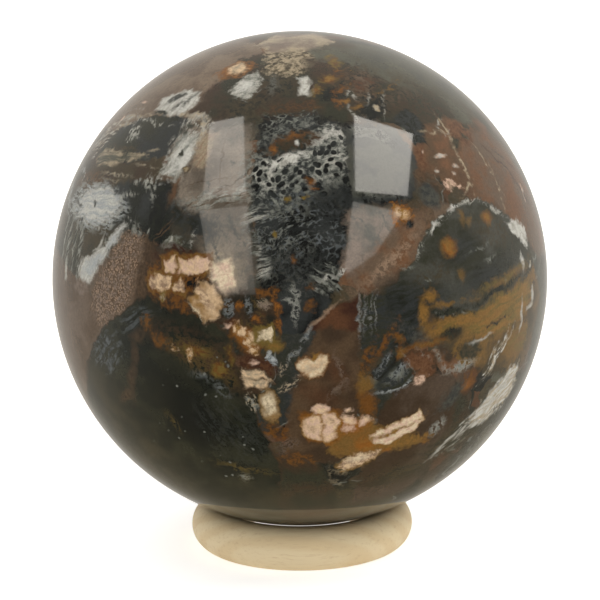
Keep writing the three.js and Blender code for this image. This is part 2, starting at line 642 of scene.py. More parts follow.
def dark_lower_left(lay):
    """The largest fragment, dark green to black, low on the left."""
    lay("moss/umber", Chip((-12, -28), (3, -31), (8, -34), (10, -42), (24, -60), (-40, -60)), edge=0.8,
        ragged=2, field=cloud)
    lay("black/moss", Chip((-50, 0), (-42, 5), (-37, 9), (-26, 9), (-18, 3), (-14, -4), (-6, -32),
            (-8, -60), (-60, -75), (-85, -42), (-66, -22), (-58, -11)), rim=("umber", 0.3), ragged=0.8,
        field=cloud)
    lay("taupe", Oval((-44.5, 3.6), (-50.4, -0.4), 0.35), Oval((-50.4, -0.4), (-58.4, -9.6), 0.35),
        ragged=0.3)
    lay("moss/olive", Oval((-58, -14), (-40, -45), 14), Oval((-20, -42), (10, -48), 9), edge=4,
        strength=0.5, field=cloud)
    lay("soot", Oval((-33, 6), (-24, 7), 4), Oval((-36, -8), (-20, -26), 13), edge=4, strength=0.7)
    lay("steel/slate", Oval((-46, -3.5), (-54, -11), 6.5), cover=wisps((-46, -3), (-54, -11)), edge=1.5,
        ragged=2.2, strength=0.8)
    lay("steel", Oval((-44, 0), (-36, 4), 3.5), cover=wisps((-44, 0), (-36, 4)), edge=1.2, ragged=2,
        strength=0.5)
    lay("umber/brown", Oval((-41, -2), (-36, -1), 2), Oval((-40, -3), (-41.5, -9), 1.6),
        Oval((-41.5, -8), (-43.5, -16), 1.5), Oval((-43, -15), (-49, -19), 2.4), edge=0.9, ragged=1.6,
        strength=0.8)


def golden_belt(lay):
    """The brown and golden belt across the upper part of the largest fragment, and the flecks below it."""
    lay("black/umber", Oval((-37, 1), (-14, -4), 8), Oval((-16, -2), (-13.5, -14), 4), edge=1.2, ragged=2.6,
        strength=0.8)
    lay("rust/olive", dot((-36.5, 1.5), 2.8), Oval((-34, -0.5), (-30, -3), 1.6), edge=0.8, ragged=1.5)
    lay("brass/umber", Oval((-31, -2), (-16.5, -6), 6.5), Oval((-17, -5), (-14.5, -11), 3), edge=1,
        ragged=2.6, cover=speckle)
    lay("brass/rust", Oval((-27, -2.4), (-21.5, -3.4), 2.2), dot((-18.5, -6.5), 3.2),
        Oval((-16, -1.5), (-14.5, -5), 1.2), edge=0.9, ragged=1.8)
    lay("cream/gold", dot((-25.5, -4), 1.5, 3), dot((-29.5, -3.2), 1), edge=0.6, strength=0.9)
    lay("grey/steel", Oval((-25, -8.3), (-20, -9.4), 1.2), Oval((-20, -10), (-16, -13.5), 2.4),
        cover=speckle, edge=0.8, ragged=1.5, strength=0.8)
    lay("steel/smoke", Oval((-24, -15), (-10, -30), 12), cover=both(speckle, wisps((-24, -12), (-10, -34))),
        edge=3, ragged=2, strength=0.25)
    lay("brass/grey", Oval((-18, -37), (-14, -38.5), 2.6), cover=speckle, edge=0.8, ragged=1.5)
    lay("olive/brass", Oval((-24, -33), (-8, -35), 3), Oval((-34, -20), (-31, -24), 1.6), cover=speckle,
        edge=1, ragged=2, strength=0.6)
    lay("grey", Oval((-40, -14), (-10, -32), 40), cover=holes(0.36, 0.13, 0.07), edge=3, strength=0.8)


def top_ground(lay):
    """The dark ground on the left of the top."""
    lay("moss/umber", Chip((-46, 72), (-20, 78), (10, 74), (16, 54), (-12, 49), (-30, 49), (-38, 52)),
        edge=0.8, ragged=1.8, field=cloud)
    lay("black/olive", Oval((-28, 52), (-8, 58), 9), Oval((-22, 66), (-2, 62), 7), edge=2.5, ragged=2.5,
        strength=0.8)


def white_fragment(lay):
    """The white fragment with a dark core."""
    lay("frost/white",
        Chip((-62, 50.5), (-64, 54), (-56, 58), (-48, 58.6), (-45, 56), (-47, 51.5), (-52, 50)),
        field=PALE_GRAIN, edge=0.6, ragged=1)
    lay("smoke/slate", Oval((-59, 53), (-54, 57), 2.2), Oval((-49.6, 53), (-49, 57.6), 0.7),
        Oval((-52.6, 52), (-51, 55), 0.6), edge=0.5, ragged=1)
    lay("black/moss", Oval((-60, 50), (-54, 50.6), 1.1), Oval((-51, 49.4), (-46, 50), 1), ragged=0.8)


def pale_ground(lay):
    """The pale cracked ground on the left of the dark column."""
    torn = wisps((-38, 38), (-34, 50), fineness=1.4, stretch=3)
    lay("white/ash", Chip((-43, 51), (-35, 52), (-31, 49), (-29, 40), (-33, 34), (-41, 35), (-42, 41)),
        cover=torn, edge=1, ragged=1.8)
    lay("white/grey", Chip((-41, 46), (-35, 47), (-32, 38), (-36, 34.5), (-41, 36)), edge=1, ragged=1.8,
        field=PALE_GRAIN)
    lay("frost", Oval((-37, 37), (-34, 43), 2.8), Oval((-39, 38), (-38, 44), 1), edge=1, ragged=1.4)
    lay("beige/white", Oval((-42, 51.6), (-34.6, 51.2), 1.5), Oval((-35, 51), (-32.6, 45), 1.6), edge=0.6,
        ragged=1)
    lay("moss/smoke", Oval((-41, 48.6), (-37, 48.4), 1.1), Oval((-42, 46.6), (-39.5, 46.4), 0.8),
        dot((-37.4, 41.6), 0.7, 1.8), ragged=0.9)
    lay("ash/dust", Chip((-31, 49), (-14, 51), (-13, 38), (-9, 21), (-9, 12), (-17, 10), (-25, 20),
            (-34, 30), (-34, 37)), field=cloud, edge=0.8, ragged=1.6)
    lay("beige/sand", Chip((-33.5, 47), (-29, 48), (-27, 39), (-31, 38)), field=PALE_GRAIN, edge=1.2,
        ragged=2, strength=0.8)
    lay("smoke/dust", Oval((-26, 47), (-15, 49), 3), Oval((-30, 24), (-12, 24), 6),
        Oval((-14, 22), (-10, 12), 5), edge=2, ragged=2.6, strength=0.7)
    lay("ash/beige", Oval((-22, 20), (-15, 13), 6), edge=2.5, ragged=2, strength=0.8)
    lay("brown/umber", Oval((-13.5, 39), (-18, 35.6), 0.45), Oval((-18, 35.6), (-24, 32), 0.4),
        Oval((-24, 32), (-29, 28.5), 0.35), Oval((-29, 28.5), (-37, 20.5), 0.35),
        Oval((-27.5, 31), (-36.5, 22.6), 0.3), Oval((-24, 44), (-22, 37), 0.25),
        Oval((-30, 34), (-21, 36.6), 0.25), Oval((-19, 30), (-14, 34), 0.25), ragged=0.2, edge=0.15)
    lay("smoke/slate", Oval((-24, 27), (-19, 24), 0.6), Oval((-20, 20), (-17, 14), 0.4),
        Oval((-23, 17), (-19, 18), 0.5), Oval((-17, 27), (-14, 22), 0.5), Oval((-26, 36), (-25, 33), 0.5),
        dot((-19, 41), 0.7), ragged=0.9, edge=0.3)
    lay("slate/black", Oval((-36, 30), (-29, 25), 4), Oval((-31, 26.6), (-21, 23.6), 5), edge=1.6, ragged=2)
    lay("grey/white", Oval((-29, 30), (-13, 33), 3.2), Oval((-20, 32.6), (-10, 35), 2.4),
        cover=wisps((-28, 30), (-12, 34), fineness=1.2, stretch=4), edge=1.2, ragged=2)
    lay("brown/terracotta", Oval((-34.6, 35), (-35.6, 29), 1.3), edge=0.6, ragged=1, strength=0.8)
    lay("brass/beige", dot((-33.6, 37.6), 1.2), rim=("umber", 0.3), ragged=0.3)
    lay("grey/lichen",
        Chip((-34.6, 17.6), (-33, 21), (-30.6, 22.6), (-28, 20.4), (-25.6, 21.6), (-26, 18), (-30, 17)),
        edge=0.5, ragged=1.6)
    lay("white", Oval((-31.6, 22.4), (-30.8, 19), 0.9), Oval((-33.6, 19), (-28, 19.2), 0.9),
        Oval((-26, 23.6), (-26.6, 20), 0.6), cover=speckle, ragged=1)


def top_chips(lay):
    """Chips near the top."""
    lay("white/grey", Chip((-33, 61), (-31, 65.4), (-26, 68), (-21, 66), (-20, 61), (-22, 58), (-28, 58.8)),
        edge=0.7, ragged=1.6)
    lay("frost", Oval((-30, 62), (-24, 63), 2.6), edge=1, ragged=1.4)
    lay("orange/rust", Oval((-46, 65), (-31, 71), 5), edge=0.8, ragged=1.2)
    lay("cream/beige", Oval((-43, 66.8), (-34.5, 70), 3.8), edge=0.8, ragged=0.8)
    lay("beige/rose", Chip((-60, 79), (-20, 76), (20, 76), (60, 80), (120, 84), (-120, 84)), edge=1,
        ragged=2.4, field=cloud)
    lay("beige/olive", Chip((-30, 77), (-20, 68), (-4, 67), (8, 70), (24, 74), (20, 78)), edge=1,
        ragged=2.6)
    lay("moss/umber", Oval((-16, 72.6), (-6, 71.6), 1), Oval((2, 72), (12, 73.4), 1.2),
        Oval((-34, 76), (-20, 75), 1.2), Oval((10, 77), (30, 78), 1), cover=speckle, edge=0.5, ragged=1.4)
    lay("brass/umber", Oval((4, 75.5), (22, 76), 2), cover=speckle, edge=0.6, ragged=1.2)
    lay("grey/smoke", Oval((-14, 68), (-12.6, 60.6), 1.8), Oval((-17, 63), (-10, 63), 1.2), cover=speckle,
        edge=0.6, ragged=1.4)
    lay("white/frost", Chip((-0.4, 66.6), (6, 67), (8, 64.4), (4.6, 60.2), (1.4, 60.6)), edge=0.5,
        ragged=0.9)
    lay("grey/beige", Oval((5, 60), (10.4, 62.4), 0.7), Oval((10, 62), (11.4, 65.4), 0.8), ragged=0.7)


def dark_column(lay):
    """The blue-black ground down the middle, with its net of dark spots in pale threads."""
    across = wisps((-12, 34), (14, 42), fineness=1, stretch=3)
    lay("soot/slate", Chip((-14, 54), (16, 54), (19, 44), (16, 30), (12, 20), (8, 10), (3, 3), (-5, 2),
            (-8, 10), (-10, 20), (-13, 36)), ragged=1.6, field=cloud)
    lay("grey/slate", Oval((-14, 33), (14, 46), 17), cover=SPOTS, edge=2.5, ragged=3)
    lay("white/grey", Oval((-12, 36), (1, 42), 6), Oval((2, 44), (14, 49), 6), Oval((6, 38), (15, 43), 4),
        cover=both(SPOTS, across), edge=1.5, ragged=2.5)
    lay("frost/white", Oval((-7.5, 40.5), (0, 42.5), 2.2), Oval((4, 46), (12, 49), 2),
        cover=holes(0.8, 0.25, 0.4), edge=0.8, ragged=2)
    lay("smoke/steel", Oval((-12, 28), (11, 20), 18), cover=both(net(0.9), across), edge=3, ragged=2.5,
        strength=0.8)
    lay("grey", Oval((-12, 27), (2, 22), 9), cover=both(net(1.1), across), edge=3, ragged=2.5, strength=0.6)
    lay("smoke", Oval((-10, 18), (8, 13), 9), cover=both(net(1.1), speckle), edge=2, ragged=2.5,
        strength=0.75)
    lay("smoke/grey", Oval((-13, 50), (8, 56), 7), cover=both(net(0.9), across), edge=1.5, ragged=2.5)
    lay("soot/slate", Oval((3, 31), (12, 32), 7), Oval((-7, 17.5), (9, 17), 5), edge=2.5, ragged=2.5,
        strength=0.75)
    lay("grey/white", Oval((-13.5, 27), (-8, 29), 3), Oval((-12, 22), (-8, 18), 2),
        Oval((-10, 15), (-7, 17), 2.6), cover=wisps((-14, 27), (-7, 29)), edge=0.8, ragged=1.5)
    lay("umber/moss", Oval((-11, 43.8), (7, 48), 4), Oval((-15, 54.6), (20, 57), 4.6), edge=0.9, ragged=2.2)
    lay("rust/umber", Oval((-14, 55), (18, 57), 2.8), Oval((-6, 46.6), (5, 48), 1.6), cover=speckle,
        edge=0.8, ragged=2.2)
    lay("rust/orange", Oval((-9.4, 44.2), (-7.4, 45.6), 1.7), Oval((-4, 47.4), (1, 48), 0.7),
        dot((3.4, 36.6), 1.3), dot((4, 34.8), 0.9), dot((-1, 18.3), 1), Oval((7, 55.6), (11, 55.2), 0.9),
        edge=0.6, ragged=1.2, strength=0.85)
    lay("frost", dot((-0.8, 45.9), 0.8), ragged=0.2)
    lay("brass", dot((-2.5, 32.5), 1), dot((2.2, 32.5), 1), dot((-6, 24), 1.2), edge=0.4)


def column_foot(lay):
    """The lower end of the dark column."""
    lay("white/grey", Oval((-2, 13), (0, 9.5), 1.2), Oval((-0.6, 10.5), (-1.2, 4.5), 1.6),
        Oval((-3.5, 10), (-1, 8), 1.2), cover=speckle, ragged=1)
    lay("grey/smoke", Oval((3, 16), (9, 12), 5.5), cover=wisps((3, 16), (9, 12)), edge=0.8, ragged=1.6)
    lay("frost/white", Oval((4.5, 13.8), (8.5, 14.8), 1), Oval((9, 14.8), (12, 16.2), 1.4), cover=speckle,
        ragged=0.7)
    lay("rust/umber", dot((2, 8), 1.4, 1.8), dot((2.5, 12.6), 1.2), edge=0.6, ragged=1, strength=0.8)


def upper_right(lay):
    """From the top down the right side to the terracotta ground."""
    knotted = wisps((20, 58), (50, 60), fineness=1.1, stretch=1.5)
    lay("olive/lichen", Chip((16, 80), (80, 78), (100, 44), (62, 42), (40, 50), (16, 54), (14, 66)), edge=1,
        field=cloud)
    lay("lichen/smoke", Oval((50, 72), (92, 48), 12), edge=3, ragged=2, field=cloud)
    lay("moss/umber", Chip((8, 74), (34, 70), (50, 60), (48, 50), (18, 49), (8, 54)), edge=1.5, ragged=2.5,
        field=cloud)
    lay("black/brown", Oval((16, 62), (44, 60), 16), cover=knotted, edge=2.5, ragged=2.5)
    lay("soot/black", Oval((24, 52), (36, 56), 5), Oval((13, 57), (18, 62), 5), edge=1.2, ragged=2)
    lay("brown/taupe", Oval((26, 58), (40, 66), 4), Oval((40, 55), (52, 57), 3), cover=speckle, edge=1.2,
        ragged=2.2)
    lay("ochre/umber", Oval((38, 59), (54, 60.6), 1.6), Oval((20, 70), (34, 67), 1.4), cover=knotted,
        ragged=1.4)
    lay("russet/umber", dot((30, 61.6), 2.6), Oval((42, 52), (48, 54.4), 2.2),
        Oval((34, 63), (42, 63), 1.4), edge=0.8, ragged=1.4)
    lay("moss/umber", Oval((40, 54), (66, 47), 12), edge=3, ragged=2, strength=0.9)
    lay("beige/white", Oval((30.4, 55.2), (32.6, 54), 1.1), ragged=0.7)
    lay("grey/white", Oval((24.5, 61), (25.5, 57.5), 0.8), Oval((28, 56), (32, 58.6), 0.4),
        Oval((22, 59), (24, 60), 0.4), Oval((36, 55), (40, 58), 0.4), Oval((33, 51.6), (36, 54), 0.4),
        Oval((20, 56.6), (21, 52), 0.4), cover=speckle, ragged=0.7)
    lay("brass/rust", Oval((15, 64), (18, 66.6), 2.8), Oval((8, 60), (12, 62.6), 1.4),
        Oval((24, 70), (30, 75), 1.6), edge=0.7, ragged=1.6)
    lay("rust/umber", Oval((14, 57), (20, 57.6), 2.8), Oval((18, 60.6), (24, 62), 1.4),
        Oval((20, 66), (26, 68), 2), edge=0.7, ragged=1.8)
    lay("gold", dot((20, 57.4), 1.6, 0.8), dot((16.6, 65.4), 1.2), dot((9.6, 61.4), 0.8),
        Oval((22, 55), (25, 55.4), 0.5), edge=0.5, ragged=0.8, strength=0.8)


def terracotta_ground(lay):
    """The terracotta ground on the right."""
    lay("terracotta/brown", Chip((34, 46), (47, 47.6), (62, 47), (80, 36), (86, 10), (74, 6), (62, 18),
            (48, 26), (36, 26), (33, 34)), edge=0.6, field=cloud)
    lay("terracotta/taupe", Chip((51, 36), (60, 44), (84, 34), (84, 8), (72, 8), (62, 20), (52, 28)),
        edge=1.2, ragged=2, field=cloud)
    lay("brown/umber", Oval((33.4, 40), (34.4, 32), 4.5), edge=0.9, ragged=1.4)
    lay("russet/terracotta", Oval((54, 43), (66, 42), 6), Oval((37, 36), (39, 44), 3.5), edge=0.9,
        ragged=1.6)
    lay("brown/umber", Oval((49, 35), (49, 27), 5), Oval((36, 36.5), (44, 34), 1.4), edge=2, ragged=1.6,
        strength=0.6)
    lay("moss/olive", dot((54.6, 40.6), 2.8, 2.4), dot((60.6, 41.4), 2, 2), dot((66, 44), 2, 1.2), edge=0.7,
        ragged=1)
    lay("black/slate", Chip((36, 51), (44, 52), (46, 47), (43, 42), (38, 43)), edge=0.5, ragged=0.9)
    lay("grey/white", Oval((51.6, 46.6), (56, 47.4), 0.7), Oval((51, 46), (52, 43.6), 0.7),
        Oval((52.4, 43.4), (55.4, 45), 0.5), cover=speckle, ragged=0.5)
    lay("beige/taupe", Oval((55, 47), (53, 40), 0.5), Oval((53, 40.4), (51, 31), 0.6),
        Oval((45, 45.6), (52, 44.4), 0.5), Oval((51, 31), (47.6, 29.4), 0.5),
        Oval((62, 38), (63.4, 30), 0.5), Oval((63.6, 30), (62, 24), 0.4), ragged=0.5)
    lay("white/pink", dot((46, 39.4), 1.9, 1.1), dot((42, 35.4), 1, 0.7), dot((49, 36.4), 0.9, 0.6),
        dot((40, 41), 0.6), dot((47.6, 34.4), 0.6), Oval((76.5, 25), (76, 22), 0.9), ragged=0.5)
    lay("pink/sand", dot((44.4, 32), 2.8, 2.2), dot((47, 31), 1, 0.7), ragged=0.8)
    lay("wine", Oval((74, 34), (80, 28), 0.6), Oval((70, 34), (78, 20), 0.5), ragged=0.4)
    lay("smoke/slate", Oval((33, 29.6), (38.6, 31.4), 5.6), edge=1, ragged=1.6)
    lay("black", Oval((38, 33.4), (40.4, 29), 0.7), edge=0.6, ragged=1, strength=0.7)


def right_of_column(lay):
    """The ground on the right of the dark column."""
    lay("smoke/slate", Chip((15, 49), (33, 49), (36, 40), (31, 30), (14, 30)), field=cloud)
    lay("soot/slate", Oval((16, 31), (28, 30.6), 2.6), Oval((16, 49.6), (26, 49), 2.4),
        Oval((26, 48), (32, 44), 1.4), edge=0.8, ragged=2)
    lay("grey/smoke", Oval((17, 49), (30, 46), 3), Oval((16, 33.6), (22, 31.4), 1.4), cover=speckle,
        ragged=1.6)
    lay("rose/smoke", Chip((12, 29), (27, 29), (27, 20), (14, 13), (10, 16)), edge=0.8, ragged=1.5,
        field=cloud)
    lay("smoke", Oval((14, 27), (20, 20), 0.5), Oval((21, 28), (24, 22), 0.4),
        Oval((15, 18), (20, 24), 0.4), ragged=0.8)
    lay("taupe/terracotta", Oval((34, 26), (12, 10), 7.5), edge=1.2, ragged=1.8, field=cloud)
    lay("fawn/sand", Oval((30, 23), (14, 11), 2.6), cover=speckle, edge=1, ragged=1.8)
    lay("orange/rust", Oval((24.4, 29.6), (29, 25), 3.4), edge=0.6, ragged=1.8)
    lay("gold/cream", Oval((25, 29), (28.6, 26), 1.5), edge=0.5, ragged=1)
    lay("soot/slate", Oval((27, 24.8), (30, 24.4), 1.4), ragged=0.7)


def domed_fragment(lay):
    """The fragment with a domed pale outline on the right."""
    arch = (Oval((27.5, 17), (33, 22.5), 0.7), Oval((33, 22), (42, 27), 1.4), Oval((43, 27.4), (53, 27), 1.2),
            Oval((52, 26.5), (61, 21), 1.1))
    lay("smoke/moss", Chip((26, 16), (33, 23), (43, 27.5), (53, 27), (62, 21), (70, 10), (68, 0), (42, 3),
            (24, 2), (20, 9)), field=cloud, ragged=0.9)
    lay("black/slate", Oval((18, 9), (36, 7), 8), Oval((40, 8.5), (58, 11), 6), Oval((34, 16), (48, 19), 5),
        edge=2.5, ragged=2, field=BAND_GRAIN, strength=0.8)
    lay("olive/smoke", Oval((48, 22), (60, 16), 6), Oval((28, 12), (36, 14), 4), edge=2, ragged=2,
        strength=0.7)
    lay("grey/white", *arch, cover=both(speckle, wisps((30, 20), (50, 27), fineness=1.2, stretch=4)),
        ragged=1.2)
    lay("frost", Oval((40.5, 26.3), (44, 27.3), 1), Oval((33.5, 22), (36, 24.2), 0.6), cover=speckle,
        ragged=0.8)
    lay("ochre/orange", dot((37.5, 18.5), 3.9, 3.5), dot((53, 22.2), 2.6, 2), edge=0.9, ragged=0.8)
    lay("gold", dot((53, 22.2), 1.2), dot((37.4, 18.8), 1.8), edge=0.9, strength=0.7)
    lay("ochre", Oval((43.5, 25.5), (43.5, 22.5), 1.6), Oval((40.2, 12.8), (40.5, 10), 1.8),
        dot((46, 23), 1.2), edge=0.8, strength=0.7)
    lay("frost/white", Chip((58.6, 19.2), (65, 20), (69, 17), (67.4, 11.6), (64, 12.6), (61.6, 17)),
        edge=0.7, ragged=1.6)
    lay("frost", Oval((63, 11.5), (63.2, 8), 1), dot((67.5, 8.5), 1.1), ragged=0.5)
    lay("grey", Oval((48.5, 13.6), (52.5, 14.2), 0.9), dot((54, 7.8), 1.2), dot((30.5, 11.6), 1.4, 0.8),
        Oval((24, 15.6), (27, 15.2), 1.1), Oval((44, 16), (50, 17), 0.7), cover=speckle, ragged=1)


def golden_bands(lay):
    """The golden bands under the domed fragment."""
    lay("olive/ochre", Chip((28, 0), (44, 3), (70, 8), (73, -2), (64, -16), (44, -12), (34, -4)),
        field=cloud, edge=0.8, ragged=1.6)
    lay("brass/gold", Oval((40, -1), (68, 3), 7.5), Oval((30, 0.5), (46, 1.5), 3), field=BAND_GRAIN, edge=1,
        ragged=1.8)
    lay("brass/ochre", Oval((44, 6.4), (66, 9), 2.6), Oval((56, -6), (66, -8), 6), field=BAND_GRAIN, edge=1,
        ragged=1.8, strength=0.8)
    lay("ochre/gold", Oval((28, 7.5), (32, 8.2), 2.4), Oval((28.6, 7), (28.4, 1), 2.2),
        Oval((29, 2), (46, 1.4), 1.3), Oval((31.5, 5.6), (36.5, 5.8), 0.8), edge=0.8, ragged=1.4)
    lay("black/moss", Oval((31, 3.8), (40, 3.4), 1.7), Oval((38, 4), (62, 7.4), 1.1),
        Oval((33, -1), (38, -2), 2), Oval((47, -1.6), (53, -0.6), 0.7), edge=0.5, ragged=1.2)
    lay("moss/olive", Oval((38, -6), (45, -5.6), 4.2), rim=("ochre", 0.8), edge=0.9, ragged=1.4)
    lay("russet/rust", Oval((40, -14), (45.5, -12.5), 5), edge=1, ragged=1.8)
    lay("orange", Oval((41, -15.5), (44, -13.5), 1.4), edge=0.8, ragged=1, strength=0.8)
    lay("white", Oval((60.5, -5), (61.5, 0.5), 0.6), Oval((64, -1), (67, -0.5), 0.6),
        Oval((67, 0), (67.8, 3), 1), Oval((43, -4), (47, -3.6), 0.4), ragged=0.3)


def red_brown_wedge(lay):
    """The red-brown wedge and the brown ground below it."""
    lay("wine/russet", Chip((2, 3), (8, 8), (13, 10), (13, 2), (8, 1.5)), ragged=0.5, field=cloud)
    lay("brown/umber",
        Chip((1, 2), (5, 3), (13, 3), (14, -12), (12, -32), (-6, -30), (-10, -22), (-5, -12), (0, -4)),
        edge=0.6, field=cloud)
    lay("russet", Oval((1, -11), (8, -15), 4), Oval((6, -4), (9, -10), 3.5), edge=1.8, ragged=1.6,
        strength=0.6)
    lay("slate/moss", Chip((13.5, 10), (21, 9), (23, 3), (20, -3), (16, -4), (13.5, -2)), field=BAND_GRAIN,
        ragged=1.4)
    lay("black/slate", Chip((20, 9), (28, 8), (27, -2), (21, -3)), edge=1, ragged=2, field=BAND_GRAIN)
    lay("mauve/umber",
        Chip((17, -12), (34, -10), (40, -14), (42, -30), (36, -48), (14, -50), (12, -35), (17, -24)),
        edge=0.8, ragged=1.6, field=cloud)
    lay("moss/olive", Oval((34, -34), (58, -22), 8), Oval((22, -40), (40, -36), 6), edge=2.5, ragged=2.5,
        field=BAND_GRAIN, strength=0.9)
    lay("white/steel", Oval((13.2, 9.5), (12.9, 1.5), 0.9), Oval((0.2, 0), (3, 4.2), 1),
        Oval((-3.2, -5.5), (0.4, 0), 0.7), *fan((14.5, 8.5), (14, 3), shift=(1.3, 0.2), count=3, width=0.5),
        cover=speckle, ragged=0.7)
    lay("sand", Oval((3, 4.2), (8, 8.2), 0.5), ragged=0.4)
    lay("rose/taupe", Oval((8, -3), (10, -10), 1.3), Oval((9.5, -9), (7, -13), 1.2), cover=speckle,
        edge=0.6, ragged=1.2)
    lay("smoke/slate", Oval((36, -20), (41, -12), 4), Oval((30, -2), (22, 3), 2), edge=1.2, ragged=1.8)


def orange_veins(lay):
    """The orange veins and the red-brown fragment among them."""
    lay("rust/umber", Oval((16, -2), (14, -9), 2), Oval((20.5, 2), (17, -4), 1), edge=0.8, ragged=1.6)
    lay("ochre/rust", Oval((14.6, -8), (14.4, -14), 3.4), Oval((15, -12), (16.6, -20), 3.4), edge=0.9,
        ragged=1.2, field=cloud)
    lay("rust/ochre", Oval((26, -2.6), (34, -2.2), 1.6), Oval((21.6, -4.6), (25, -3.2), 2.2),
        Oval((21, 1), (23, -1), 1.2), edge=0.7, ragged=1.3)
    lay("russet/terracotta", Oval((24.5, -5.5), (32, -7), 3.2), Oval((27, -9.5), (32, -8.5), 3.2),
        rim=("umber", 0.4), ragged=1.2)
    lay("sand/grey", Oval((31.5, -4), (33.5, -8), 0.8), Oval((24, -4.6), (26.5, -8), 0.5),
        Oval((28, -4), (30, -6), 0.4), cover=speckle, ragged=0.6)
    lay("pink/sand", dot((28, -11), 2.8, 2.2), edge=0.6, ragged=1)
    lay("slate/moss", Oval((18.5, -12), (25, -8), 4.6), Oval((17, -8), (20, -3.5), 2.6), edge=0.8,
        ragged=1.3)
    lay("steel/grey", Oval((19.8, -10.4), (24.4, -7.4), 2.2), cover=speckle, edge=0.8, ragged=1.2)
    lay("ice/steel", Oval((21.4, -8.4), (24.6, -6.8), 1), Oval((17.4, -6.6), (20, -3.6), 1),
        Oval((17, -8.6), (18.4, -6.8), 0.8), cover=speckle, edge=0.5, ragged=1)
    lay("ice", Oval((18.5, -13), (23.5, -12.2), 0.5), Oval((23, -12.5), (25.6, -10), 0.5), cover=speckle,
        ragged=0.5)


def right_plumes(lay):
    """The plumes low on the right."""
    rising = wisps((44, -32), (64, -14), fineness=1.6, stretch=7)
    lay("white/grey", Oval((35, -10.6), (43.5, -8.6), 2.2), Oval((35.5, -11), (34, -8.6), 1.2),
        Oval((34, -26.8), (38, -22.5), 2.4), cover=speckle, edge=0.6, ragged=1.4)
    lay("frost/beige", *fan((56.5, -4.5), (51.5, -10.5), shift=(-1.6, -1.4), count=4, width=0.6),
        Oval((54.5, -5), (48.5, -14), 1.4), Oval((51.5, -6.5), (49, -10), 0.8),
        cover=wisps((48, -14), (56, -5), fineness=1.8, stretch=9), edge=0.3, ragged=0.5)
    lay("frost/beige", Chip((47, -24), (52, -18.4), (58, -14.4), (63, -14), (65, -19), (61, -24.5),
            (55, -27), (50, -27)), edge=1, ragged=2.2,
        field=fibres((49, -25), (64, -16), fineness=1.4, stretch=4))
    lay("frost/white", Oval((50, -23), (61, -16), 4.2), cover=speckle, edge=1, ragged=1.8)
    lay("white", *fan((51, -24), (44.5, -32), shift=(-2.6, -0.4), count=3, width=0.9),
        Oval((45, -27), (38.5, -34), 1.4), cover=rising, edge=0.5, ragged=0.9)
    lay("smoke", Oval((54, -25), (63, -23.5), 1.2), cover=speckle, ragged=1)
    lay("lichen/smoke", Oval((50, -38), (72, -34), 8), Oval((72, -10), (76, -28), 4), edge=2.5, field=cloud,
        strength=0.6)


def cream_chips(lay):
    """The cream fragments in gold that cross the front. These are the ones at the upper left."""
    halo = ("ochre/rust", 0.9)
    lay("wine/umber", Oval((-36, 17.5), (-24, 18.4), 3.2), edge=0.9, ragged=1.5)
    lay("rust/umber", Chip((-38, 15), (-22, 18), (-17, 8), (-24, 5), (-36, 8)), edge=0.8, ragged=1.4)
    lay("cream/pink", Chip((-33.3, 16.6), (-30.5, 17.2), (-29.8, 13.8), (-32.3, 13.8)),
        Chip((-29.4, 17), (-25, 17.8), (-25.5, 14.2), (-29.4, 13.6)),
        Chip((-25.4, 17.8), (-21.6, 18.7), (-20.8, 16.4), (-22.6, 14.8), (-25.8, 14.6)), rim=halo,
        ragged=0.5)
    lay("cream/sand", Chip((-36.2, 13), (-30, 13.5), (-30.8, 10.4), (-36, 10.4)),
        Chip((-29.8, 10.6), (-28.5, 13.3), (-26.4, 11.4), (-26.6, 10)), rim=halo, ragged=0.5)
    lay("ivory/pink", Chip((-20.4, 17), (-17, 18), (-14.6, 13), (-16, 11), (-19.4, 11.6)), edge=0.8,
        ragged=0.9)
    lay("rust/soot", Chip((-28, 14), (-22.5, 14.2), (-23.5, 11), (-27, 10.5)), edge=0.5, ragged=0.8)
    lay("gold/cream", Chip((-25.2, 8.4), (-22.4, 12.8), (-19.5, 12.8), (-18.4, 9.5), (-18.8, 5),
            (-21.2, 4.4), (-24.5, 6.8)), rim=("umber", 0.5), edge=0.5, ragged=0.8, field=cloud)
    lay("cream/sand", Oval((-23, 12), (-20, 7), 2.2), edge=0.8, ragged=1.2)
    lay("ivory", Oval((-25, 7.2), (-21.5, 4.4), 0.7), cover=speckle, ragged=0.7)
    lay("brass/beige", dot((-33, 9), 1.9), ragged=0.6)


def beside_column(lay):
    """Small pieces between the cream fragments and the column."""
    lay("black/umber", Chip((-18, 11), (-5, 12), (-4.5, 3), (-16, 4)), edge=0.8, ragged=1.4, field=cloud)
    lay("ice/slate", Oval((-17.5, 10.5), (-16.3, 5), 1.9), Oval((-12.5, 10), (-11, 6), 1.2), cover=speckle,
        ragged=0.9)
    lay("rust/umber", Oval((-9.5, 11.2), (-5.6, 11.6), 1.6), edge=0.7, ragged=1.4)
    lay("orange/rust", dot((-14, 7.8), 1.8), Oval((-5.4, 10), (-4.8, 4), 1),
        Oval((-10.5, 4.6), (-9, 5.6), 0.9), edge=0.6, ragged=1.2)
    lay("brass/umber", Oval((-11, 10), (-8, 5), 1.2), Oval((-14, 4.5), (-10, 3), 1.4), cover=speckle,
        ragged=1.2)
    lay("beige/rose", Oval((-9.5, 9.6), (-6.4, 7.8), 2.4), cover=speckle, ragged=1.2)
    lay("wine/russet", Oval((-18, 4.5), (-14, 3), 2), Oval((-12.6, -3), (-6, -8), 5), edge=0.9, ragged=1.4)


